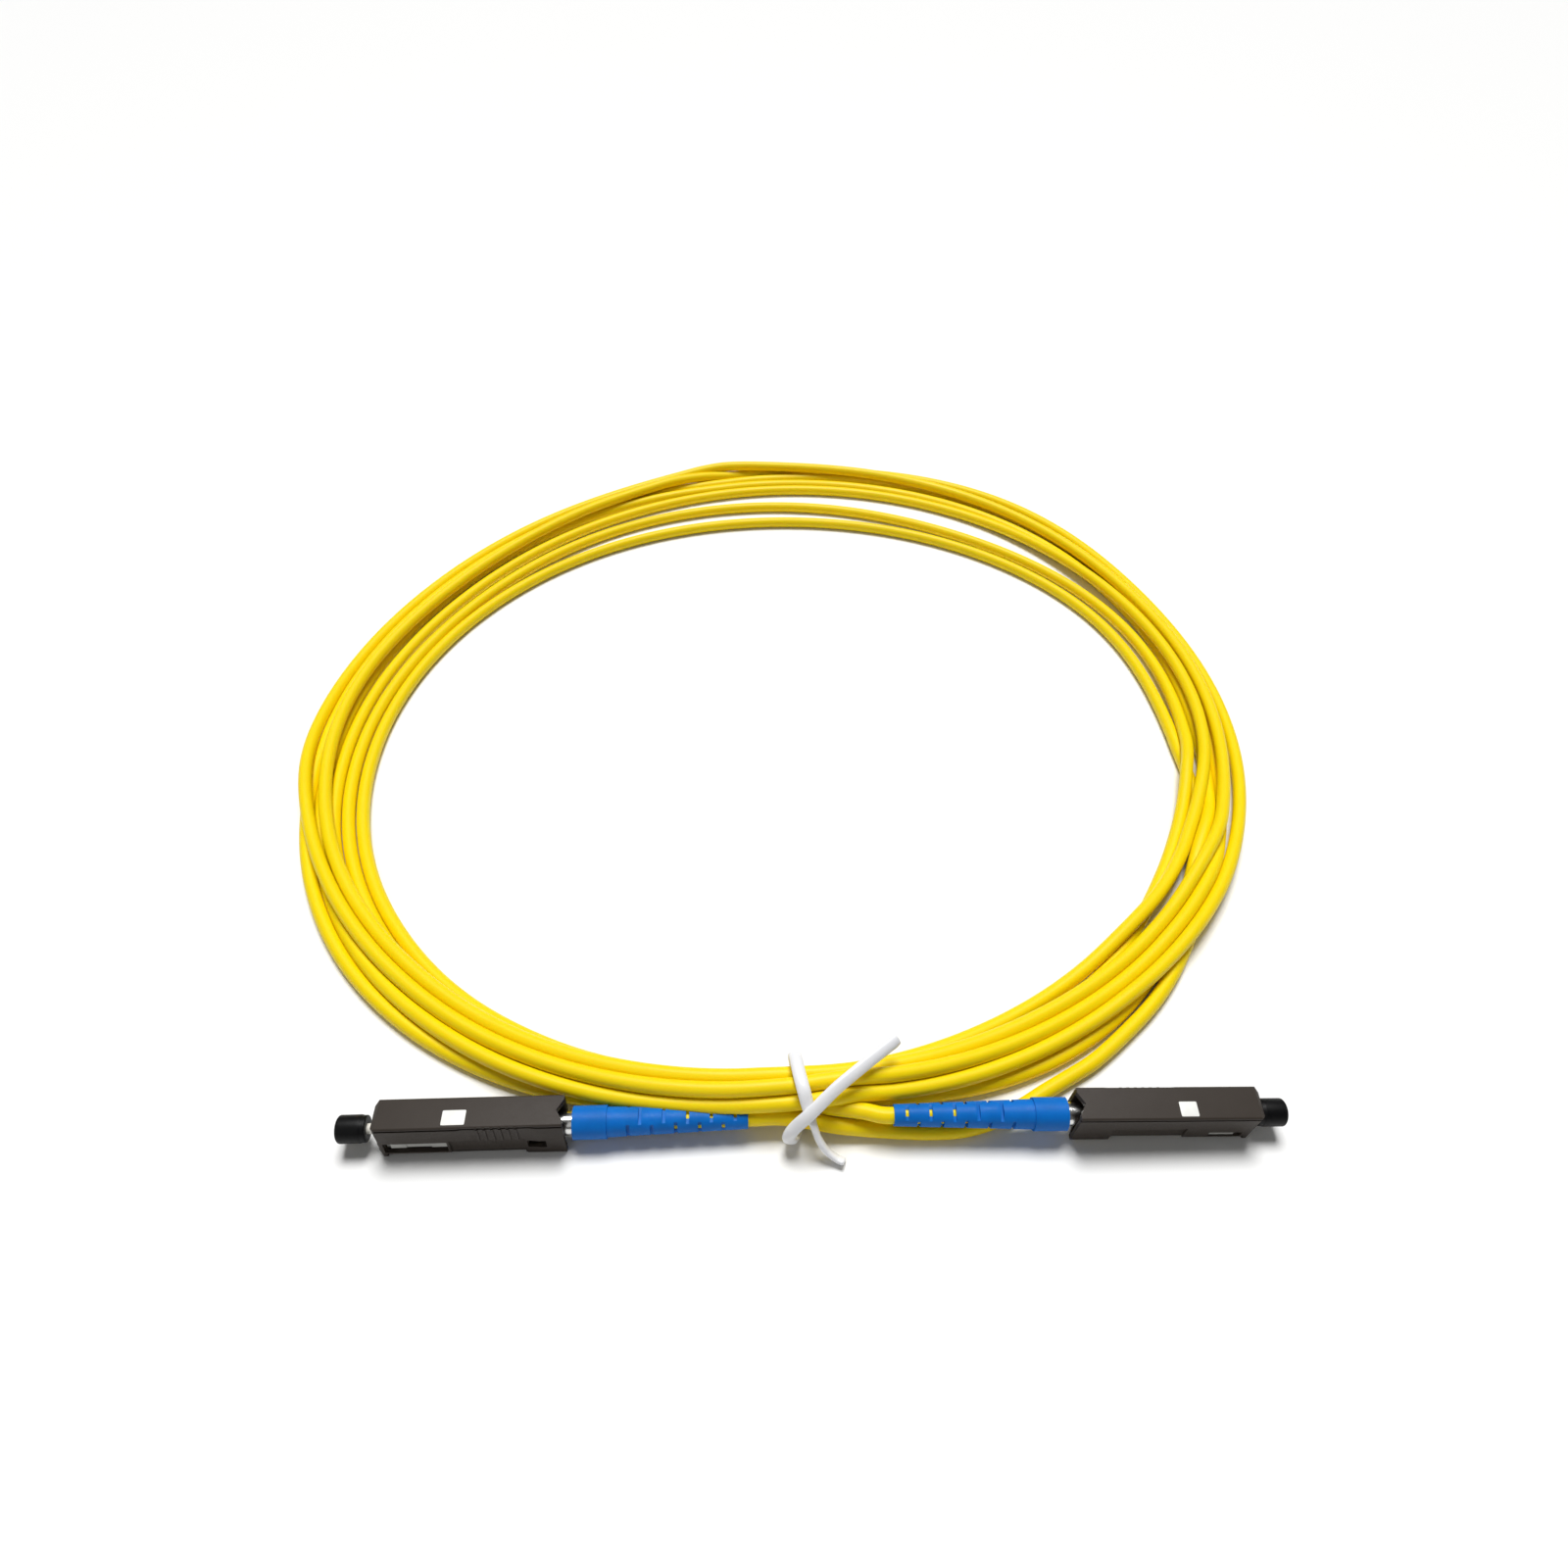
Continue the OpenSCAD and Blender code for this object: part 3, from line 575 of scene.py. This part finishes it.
# Zirconia: ground very smooth and with a high IOR, so it gleams like porcelain
zirconia = new_material("zirconia_ground", "#F6F3EA", 0.16, IOR=2.1)
mottled(zirconia, "#EFEBDD", size=1.2)
moulded_skin(zirconia, size=0.06, depth=0.001, spread=0.04)

# Nylon buffer: a creamy, half-matt coat round the fibre
nylon = new_material("nylon_buffer_extruded", "#F0ECDC", 0.4)
mottled(nylon, "#E6E0C8", size=1)
moulded_skin(nylon, size=0.2, depth=0.004, spread=0.06)
print("fine finishes:", white_ink.name, zirconia.name, nylon.name)

# %% [markdown]
# The metal parts are turned on a lathe or drawn, and some are plated. Turning
# leaves rings round the axis, so the noise is squeezed along the plug and
# drawn out across it. The plugs lie almost along X, so object X serves as
# their axis.

# %% Finishes of the metal parts
# How far round the axis the noise stays alike, in metres
RING_REACH = 1 / 60


def turned(name, colour, other, roughness, ring):
    """Metal with lathe rings of that width in mm along the plug."""
    made = new_material(name, colour, roughness, Metallic=1)
    mottled(made, other, size=1.5)
    place = add_node(made, "ShaderNodeTexCoord")
    squeezed = add_node(made, "ShaderNodeMapping", {
        "Vector": place.outputs["Object"],
        "Scale": (1 / (ring * MM), 1 / RING_REACH, 1 / RING_REACH)})
    rings = add_node(made, "ShaderNodeTexNoise", {
        "Vector": squeezed.outputs["Vector"], "Scale": 1, "Detail": 2})
    bump = add_node(made, "ShaderNodeBump", {
        "Height": rings.outputs["Fac"], "Distance": 0.004 * MM})
    link(made, bump.outputs["Normal"], "Normal")
    return made


# Stainless steel, satin and a little dark
steel = turned("flange_steel_turned", "#CFCFCC", "#BEBEBA", 0.28, ring=0.08)
# Brass under a thin nickel wash, which lets its yellow through
brass = turned("brass_nickel_washed", "#D2C8A8", "#C2B68F", 0.3, ring=0.1)
# Bright nickel: the glint between the housing and the boot
nickel = turned("crimp_nickel_plated", "#E8E8E6", "#D8D8D5", 0.2, ring=0.15)
# Drawn steel wire, greyer and duller
wire = turned("spring_wire_drawn", "#B9B9B6", "#A5A5A1", 0.3, ring=0.2)
print("metals:", steel.name, brass.name, nickel.name, wire.name)

# %% [markdown]
# The yarn that takes the pull is aramid, laid straight under the crimp ring.
# Its golden filaments are about 0.012 mm thick, too fine to show, so they are
# drawn as lines along the plug, 0.06 mm wide. They shine softly at a low
# angle, which the sheen gives.

# %% Finish of the yarn
THREAD_W = 0.06
THREAD_LEN = 2.5
yarn = new_material("aramid_yarn_spun", "#DDBB4E", 0.7, Sheen_Weight=0.4)
place = add_node(yarn, "ShaderNodeTexCoord")
laid = add_node(yarn, "ShaderNodeMapping", {
    "Vector": place.outputs["Object"],
    "Scale": (1 / (THREAD_LEN * MM), 1 / (THREAD_W * MM), 1 / (THREAD_W * MM))})
threads = add_node(yarn, "ShaderNodeTexNoise", {
    "Vector": laid.outputs["Vector"], "Scale": 1, "Detail": 2})
thread_bump = add_node(yarn, "ShaderNodeBump", {
    "Height": threads.outputs["Fac"], "Distance": 0.03 * MM})
link(yarn, thread_bump.outputs["Normal"], "Normal")
print("yarn finish:", yarn.name)

# %% [markdown]
# A moulded or cut part has no knife edge: each edge is rounded a little and
# catches a thin line of light. The housing, its frame and the boots already
# have the right shape in the CAD model, so copies of them are merged, their
# flat triangles joined, and a Bevel modifier rounds what is sharp.

# %% Rounded copies of the CAD parts
MERGE_WITHIN = 0.001
FLAT_BELOW = math.radians(1)


def rounded_copy(name, node, width, body, finish):
    """A CAD node's shape with edges rounded over that width in mm. It stands for the node."""
    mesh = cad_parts[node].data.copy()
    mesh.name = name
    mesh.materials.clear()
    mesh.materials.append(finish)
    shape = bmesh.new()
    shape.from_mesh(mesh)
    bmesh.ops.remove_doubles(shape, verts=shape.verts, dist=MERGE_WITHIN * MM)
    bmesh.ops.dissolve_limit(
        shape, angle_limit=FLAT_BELOW, verts=shape.verts, edges=shape.edges)
    shape.to_mesh(mesh)
    shape.free()
    mesh.shade_smooth()
    mesh.set_sharp_from_angle(angle=SHARP)
    piece = bpy.data.objects.new(name, mesh)
    bpy.context.scene.collection.objects.link(piece)
    edges = piece.modifiers.new("rounded edges", "BEVEL")
    edges.width = width * MM
    edges.segments = 2
    edges.limit_method = "ANGLE"
    edges.angle_limit = SHARP
    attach(piece, body)
    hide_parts(node)
    return piece


for end in ENDS:
    housing = rounded_copy(f"housing_{end}", f"grip_housing_{end}", 0.06, f"grip_{end}", charcoal)
    inner = rounded_copy(f"frame_{end}", f"plug_frame_{end}", 0.04, "root", grey)
    boot = rounded_copy(f"boot_{end}", f"strain_boot_{end}", 0.05, "root", blue)
    print(housing.name, len(housing.data.polygons), "faces, boot", len(boot.data.polygons))

# %% [markdown]
# Caps, ferrules and crimp rings are turned shapes: a profile spun round the
# plug's axis. The profile's corners are rounded first, then each of its points
# becomes a ring. A hollow part's profile is a closed loop.

# %% Spin a profile
SPIN_SIDES = 64
# Less than half, so that the curves at both ends of a short side don't meet
MOST_OF_SIDE = 0.45


def round_corners(profile, radius, steps=4):
    """Each corner of a closed loop becomes a curve from radius before it to radius after it:
    (1 - t)^2 start + 2t(1 - t) corner + t^2 end."""
    p = np.asarray(profile, float)
    before, after = np.roll(p, 1, 0) - p, np.roll(p, -1, 0) - p
    reach_back = np.minimum(radius, np.linalg.norm(before, axis=1) * MOST_OF_SIDE)[:, None]
    reach_on = np.minimum(radius, np.linalg.norm(after, axis=1) * MOST_OF_SIDE)[:, None]
    start = p + before / np.linalg.norm(before, axis=1)[:, None] * reach_back
    stop = p + after / np.linalg.norm(after, axis=1)[:, None] * reach_on
    t = np.linspace(0, 1, steps)[None, :, None]
    bend = (1 - t) ** 2 * start[:, None] + 2 * t * (1 - t) * p[:, None] + t ** 2 * stop[:, None]
    return bend.reshape(-1, 2)


def spin(name, end, profile, rounding, body, node, finish):
    """Spins a closed profile of (station s, radius r) in mm round a plug's axis: its point
    at angle t is (-s, r cos t, r sin t) in the plug's frame."""
    loop = round_corners(profile, rounding)
    t = np.linspace(0, 2 * np.pi, SPIN_SIDES, endpoint=False)
    x = np.broadcast_to(-loop[:, :1], (len(loop), SPIN_SIDES))
    local = np.stack([x, loop[:, 1:] * np.cos(t), loop[:, 1:] * np.sin(t)], -1) * MM
    piece = add_piece(name, to_table(end, local), skin(len(loop), SPIN_SIDES, closed=True))
    shape = bmesh.new()
    shape.from_mesh(piece.data)
    bmesh.ops.recalc_face_normals(shape, faces=shape.faces)
    shape.to_mesh(piece.data)
    shape.free()
    piece.data.materials.append(finish)
    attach(piece, body)
    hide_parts(node)
    return piece


print("a rounded square has", len(round_corners([(0, 0), (1, 0), (1, 1), (0, 1)], 0.1)), "points")

# %% Profile of a dust cap
CAP_FRONT = -3.6
CAP_REAR = -0.1
CAP_R = 1.65
CAP_BEVEL_LEN = 0.25
CAP_BEVEL_DROP = 0.3
CAP_NECK_LEN = 0.55
CAP_NECK_SLOPE = 0.15
CAP_NECK_DROP = 0.08
CAP_BORE_R = 0.665
CAP_BORE_FRONT = -2.65
# The cap's blind front is a loop that closes down to a pin's width on the axis
PIN_R = 0.002
CAP_PROFILE = np.array([
    (CAP_FRONT, PIN_R), (CAP_FRONT, CAP_R - CAP_BEVEL_DROP), (CAP_FRONT + CAP_BEVEL_LEN, CAP_R),
    (CAP_REAR - CAP_NECK_LEN - CAP_NECK_SLOPE, CAP_R),
    (CAP_REAR - CAP_NECK_LEN, CAP_R - CAP_NECK_DROP), (CAP_REAR, CAP_R - CAP_NECK_DROP),
    (CAP_REAR, CAP_BORE_R), (CAP_BORE_FRONT, CAP_BORE_R), (CAP_BORE_FRONT, PIN_R),
])
print("cap:", round(CAP_REAR - CAP_FRONT, 2), "mm long,", 2 * CAP_R, "mm across")

# %% Profiles of a ferrule and a crimp ring
FERRULE_R = 0.625
FERRULE_BEVEL = 0.2
FERRULE_TIP = -2.6
FERRULE_REAR = 4.4
FERRULE_BORE_R = 0.07
CRIMP_FRONT = 18.7
CRIMP_REAR = 28
CRIMP_R = 1.4
CRIMP_BORE_R = 1.22
CABLE_BORE_R = 1.04
FERRULE_PROFILE = [
    (FERRULE_TIP, FERRULE_BORE_R), (FERRULE_TIP, FERRULE_R - FERRULE_BEVEL),
    (FERRULE_TIP + FERRULE_BEVEL, FERRULE_R), (FERRULE_REAR, FERRULE_R),
    (FERRULE_REAR, FERRULE_BORE_R),
]
# Wide over the yarn, and narrow over the cable's jacket
CRIMP_PROFILE = [
    (CRIMP_FRONT, CRIMP_BORE_R), (CRIMP_FRONT, CRIMP_R),
    (CRIMP_REAR, CRIMP_R), (CRIMP_REAR, CABLE_BORE_R),
    (JACKET_END, CABLE_BORE_R), (JACKET_END, CRIMP_BORE_R),
]
print("ferrule:", FERRULE_REAR - FERRULE_TIP, "mm, crimp ring:", round(CRIMP_REAR - CRIMP_FRONT, 1))

# %% Dust caps, ferrules and crimp rings
for end, off in (("a", CAP_A_OFF), ("b", 0)):
    cap = spin(f"cap_{end}", end, CAP_PROFILE - (off, 0), 0.15, f"cap_{end}",
               f"dust_cap_{end}", black)
    ferrule = spin(f"ceramic_ferrule_{end}", end, FERRULE_PROFILE, 0.05, f"ferrule_unit_{end}",
                   f"ferrule_{end}", zirconia)
    crimp = spin(f"crimp_{end}", end, CRIMP_PROFILE, 0.08, "root",
                 f"crimp_ring_{end}", nickel)
    print([(piece.name, len(piece.data.polygons)) for piece in (cap, ferrule, crimp)])

# %% [markdown]
# Each coil spring is a wire swept along a helix. When the ferrule is pushed
# in, the real spring shortens towards the stop ring behind it; this one stays
# at its rest length.

# %% Springs
SPRING_FRONT = 4
SPRING_LEN = 7.5
SPRING_TURNS = 7
RINGS_A_TURN = 24
SPRING_WIRE_D = 0.26
SPRING_MEAN_D = 1.94
for end in ENDS:
    t = np.linspace(0, 1, SPRING_TURNS * RINGS_A_TURN + 1)
    around = 2 * np.pi * SPRING_TURNS * t
    helix = np.stack([
        -SPRING_FRONT - SPRING_WIRE_D / 2 - (SPRING_LEN - SPRING_WIRE_D) * t,
        SPRING_MEAN_D / 2 * np.cos(around), SPRING_MEAN_D / 2 * np.sin(around)], 1) * MM
    coil = sweep(f"coil_spring_{end}", to_table(end, helix), SPRING_WIRE_D / 2 * MM, 10,
                 side=(1, 0, 0.1))
    coil.data.materials.append(wire)
    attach(coil, "root")
    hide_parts(f"spring_{end}")
    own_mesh(coil)
    print(coil.name, "wire in mm:", round(length_of(helix) / MM, 1))

# %% [markdown]
# The inner parts that hardly show keep their CAD meshes as they are: a turned
# flange, the stop ring, the clamped yarn and the fibre. They only need their
# finish, which goes into the material slots that their objects already have.

# %% Finishes on the CAD parts that keep their own mesh
KEPT = {"ferrule_flange": steel, "stop_ring": brass, "aramid_yarn": yarn, "buffered_fibre": nylon}
for stem, finish in KEPT.items():
    for end in ENDS:
        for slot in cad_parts[f"{stem}_{end}"].material_slots:
            slot.material = finish
print("kept CAD parts:", len(KEPT) * len(ENDS))

# %% [markdown]
# A small white square on the upper narrow face shows which way up the plug
# goes in. It is pad printed: a film of ink with soft corners, so its outline
# is a superellipse, which is a circle pushed most of the way out to a square.

# %% Index marks
MARK_STATION = {"a": 9.5, "b": 9.1}
MARK_HALVES = {"a": (1.35, 0.95), "b": (1.05, 0.9)}
MARK_OFFSET = {"a": 0.65, "b": -0.75}
MARK_SIDES = 64
SQUARENESS = 24
# The film's foot, just under the housing's skin, its side and its top
MARK_HEIGHTS = np.array([-0.02, 0.0072, 0.012])
MARK_SHARES = np.array([1, 1, 0.985])
for end in ENDS:
    t = np.linspace(0, 2 * np.pi, MARK_SIDES, endpoint=False)
    corner = np.abs(np.cos(t)) ** SQUARENESS + np.abs(np.sin(t)) ** SQUARENESS
    circle = np.stack([np.cos(t), np.sin(t)], 1)
    edge = MARK_HALVES[end] * circle / corner[:, None] ** (1 / SQUARENESS)
    flat = edge[None] * MARK_SHARES[:, None, None] + [-MARK_STATION[end], MARK_OFFSET[end]]
    up = np.broadcast_to(HOUSING_H / 2 + MARK_HEIGHTS[:, None, None], (*flat.shape[:2], 1))
    local = np.concatenate([flat, up], 2) * MM
    mark = add_piece(f"index_mark_{end}", to_table(end, local),
                     skin(len(MARK_HEIGHTS), MARK_SIDES))
    mark.data.materials.append(white_ink)
    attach(mark, f"grip_{end}")
    print(mark.name, "in mm:", [2 * half for half in MARK_HALVES[end]])

# %% [markdown]
# The tie is a soft iron wire in a flat white plastic sleeve, which looks like a
# thin ribbon. It goes once round the bundle by hand, flat on the strands, and
# its ends cross in front and are twisted: the long end shows its broad side,
# the short one its edge. So each point of its route also has the direction
# that its width takes.

# %% Twist tie
TIE_W = 1.6
TIE_THICK = 0.9
TIE_ROUTE = np.array([
    (9.6, 7.4, 9.4), (5.8, 4.2, 9.1), (2.2, 1.2, 8.4), (-0.6, -1.1, 6.9),
    (-2.4, -2, 5.2), (-3.2, -2.3, 3.6), (-3, -2, 1.9), (-2.6, -0.8, 0.8),
    (-2.2, 1, 0.7), (-2, 3.2, 0.7), (-2.1, 5.6, 0.7), (-2.3, 6.9, 1.4),
    (-2.5, 7.1, 3.7), (-2.7, 6.9, 6), (-2.6, 5.6, 8), (-2.2, 3.3, 8.4),
    (-1.6, 1, 8.1), (-0.9, -0.6, 6.2), (-0.3, -1.6, 4.5), (0.3, -2.4, 3.1),
    (1.2, -3, 1.7), (2.4, -3.5, 0.8), (3.4, -3.9, 0.7),
]) * MM
TIE_STEPS = 8
CUT_END = 0.85
BROAD = (0.36, -0.55, -0.75)
ALONG = (1, 0, 0)
HALF_WAY = (0.8, 0.45, -0.4)
EDGE_ON = (0, 0.77, -0.64)
# Which way the width lies, and for how many points of the route
TIE_TURNS = ((BROAD, 5), (ALONG, 12), (HALF_WAY, 1), (EDGE_ON, 5))
tie_path = spline(TIE_ROUTE, TIE_STEPS)
tie_width = spline(np.repeat([way for way, _ in TIE_TURNS], [n for _, n in TIE_TURNS], 0),
                   TIE_STEPS)
tie_ahead = np.gradient(tie_path, axis=0)
tie_ahead /= np.linalg.norm(tie_ahead, axis=1, keepdims=True)
tie_across = tie_width - (tie_width * tie_ahead).sum(1, keepdims=True) * tie_ahead
tie_across /= np.linalg.norm(tie_across, axis=1, keepdims=True)
tie_radius = np.full(len(tie_path), TIE_W / 2 * MM)
tie_radius[[0, -1]] *= CUT_END
tie = sweep("tie_wire", tie_path, tie_radius, 20, flat=TIE_THICK / TIE_W,
            frames=(tie_across, np.cross(tie_ahead, tie_across)))
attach(tie, "root")
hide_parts("twist_tie")
print("tie in mm:", round(length_of(tie_path) / MM, 1))

# %% Finish of the tie
# Thin white PVC, smooth from the die: light passes into it and softens its shadows
sleeve = new_material("tie_sleeve_extruded", "#F3F3F4", 0.36, IOR=1.53,
                      Subsurface_Weight=0.3, Subsurface_Radius=(1, 1, 1),
                      Subsurface_Scale=0.5 * MM)
mottled(sleeve, "#E9EAEE", size=3)
moulded_skin(sleeve, size=0.5, depth=0.01, spread=0.06)
tie.data.materials.append(sleeve)
print("tie finish:", sleeve.name)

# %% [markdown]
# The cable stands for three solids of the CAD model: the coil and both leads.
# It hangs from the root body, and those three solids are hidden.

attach(cable, "root")
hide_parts("cable_coil", "cable_lead_a", "cable_lead_b")
print("cord points:", len(centreline))

# %% [markdown]
# The cord lies on a plain white table. A soft light from above and behind
# throws its shadows forwards, and a wide dim one from the front keeps them
# pale. Both are sun lamps, which light the near and the far table alike, and a
# wide angle makes their shadows soft. Area lamps would leave the far table
# grey. The surroundings give little light, but look white to the camera.

# %% Floor and lights
FLOOR_REACH = 3
AMBIENT = 0.12
corners = [(-1, -1, 0), (1, -1, 0), (1, 1, 0), (-1, 1, 0)]
floor = add_piece("floor", FLOOR_REACH * np.array(corners), [range(4)])
floor.data.materials.append(new_material("white_table_laminate", "#F4F4F3", 0.6))


def add_far_light(name, place, spread, strength):
    """A soft light from that direction, as if far off. Its spread is in degrees."""
    light = bpy.data.lights.new(name, "SUN")
    light.angle = math.radians(spread)
    light.energy = strength
    lamp = bpy.data.objects.new(name, light)
    lamp.location = place
    lamp.rotation_euler = lamp.location.to_track_quat("Z", "Y").to_euler()
    bpy.context.scene.collection.objects.link(lamp)


add_far_light("key", place=(0, 0.25, 0.78), spread=28, strength=3.3)
add_far_light("fill", place=(-0.3, -0.5, 0.5), spread=50, strength=0.22)
world = bpy.data.worlds.new("studio")
world.use_nodes = True
backdrop = world.node_tree.nodes["Background"]
backdrop.inputs["Color"].default_value = (1, 1, 1, 1)
seen = add_node(world, "ShaderNodeLightPath")
paler = add_node(world, "ShaderNodeMapRange", {
    "Value": seen.outputs["Is Camera Ray"], "To Min": AMBIENT})
world.node_tree.links.new(paler.outputs["Result"], backdrop.inputs["Strength"])
bpy.context.scene.world = world
bpy.context.scene.view_settings.view_transform = "Standard"
print("lights:", len(bpy.data.lights))
